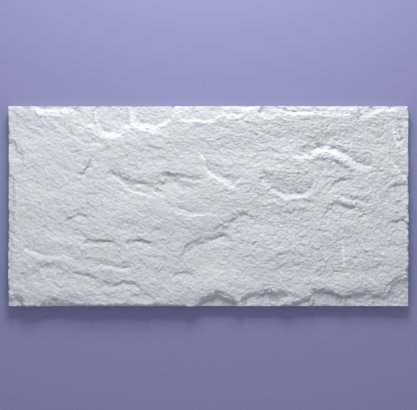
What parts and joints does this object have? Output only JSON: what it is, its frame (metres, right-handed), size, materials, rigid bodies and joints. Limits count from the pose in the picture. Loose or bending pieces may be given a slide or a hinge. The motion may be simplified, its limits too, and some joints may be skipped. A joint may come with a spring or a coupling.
{
  "type": "split-stone wall panel",
  "caption": "Rectangular wall cladding panel moulded in rigid polyurethane foam, with a flat back and a face cast from split stone, chipped along its rim",
  "frame": {"origin": "the middle of the flat back, on the surface the panel lies on", "axes": "X along the panel's length, Y from its lower to its upper edge as hung, Z out of the stone face"},
  "size_m": [1.2, 0.6, 0.042],
  "materials": {
    "stone_panel": "matt off-white moulded polyurethane skin"
  },
  "bodies": {
    "root": {"stone_panel": "stone_panel"}
  },
  "joints": []
}
